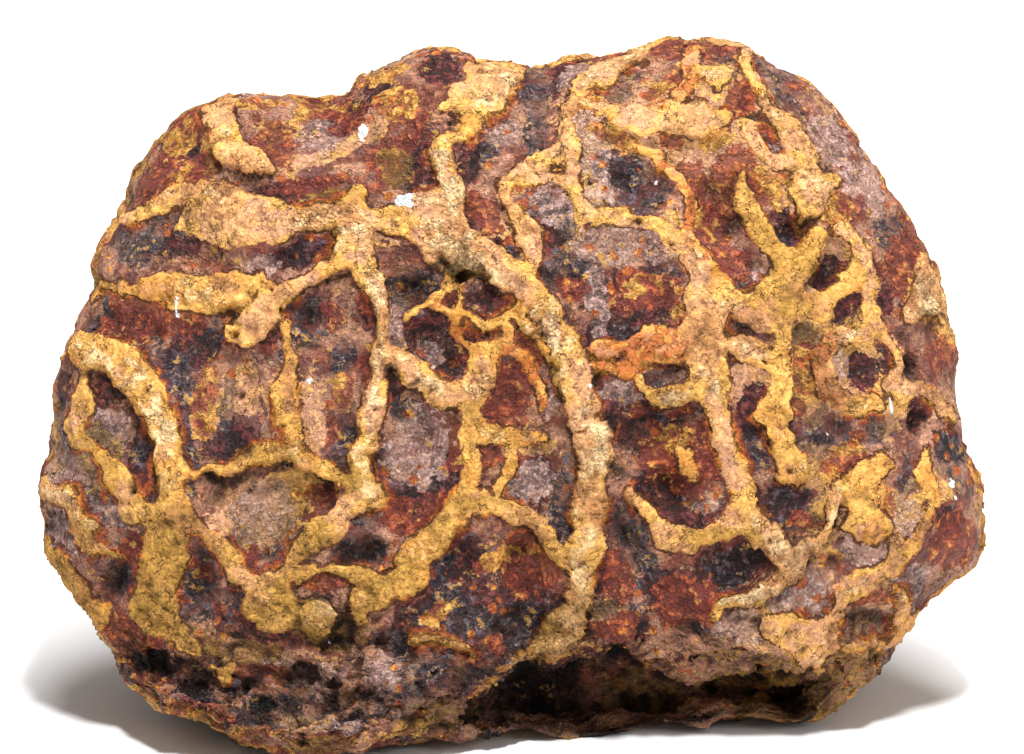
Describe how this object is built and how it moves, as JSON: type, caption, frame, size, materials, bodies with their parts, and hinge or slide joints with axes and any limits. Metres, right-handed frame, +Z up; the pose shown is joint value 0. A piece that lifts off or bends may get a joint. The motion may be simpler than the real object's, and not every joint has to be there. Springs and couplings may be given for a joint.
{
  "type": "bauxite stone",
  "caption": "Rough rounded lump of lateritic bauxite with a net of raised clay veins round dark iron-stained cells, standing on a flat-bottomed foot.",
  "frame": {"origin": "middle of the stone's footprint, in the plane that it rests on", "axes": "+Z up, +X to the right along the broad veined face, -Y out of that face"},
  "size_m": [0.1816, 0.1212, 0.1254],
  "materials": {
    "bauxite": "rough, dry and earthy: ochre and tan clay veins over maroon, rust and slate-grey cells"
  },
  "bodies": {
    "root": {"stone": "bauxite"}
  },
  "joints": []
}
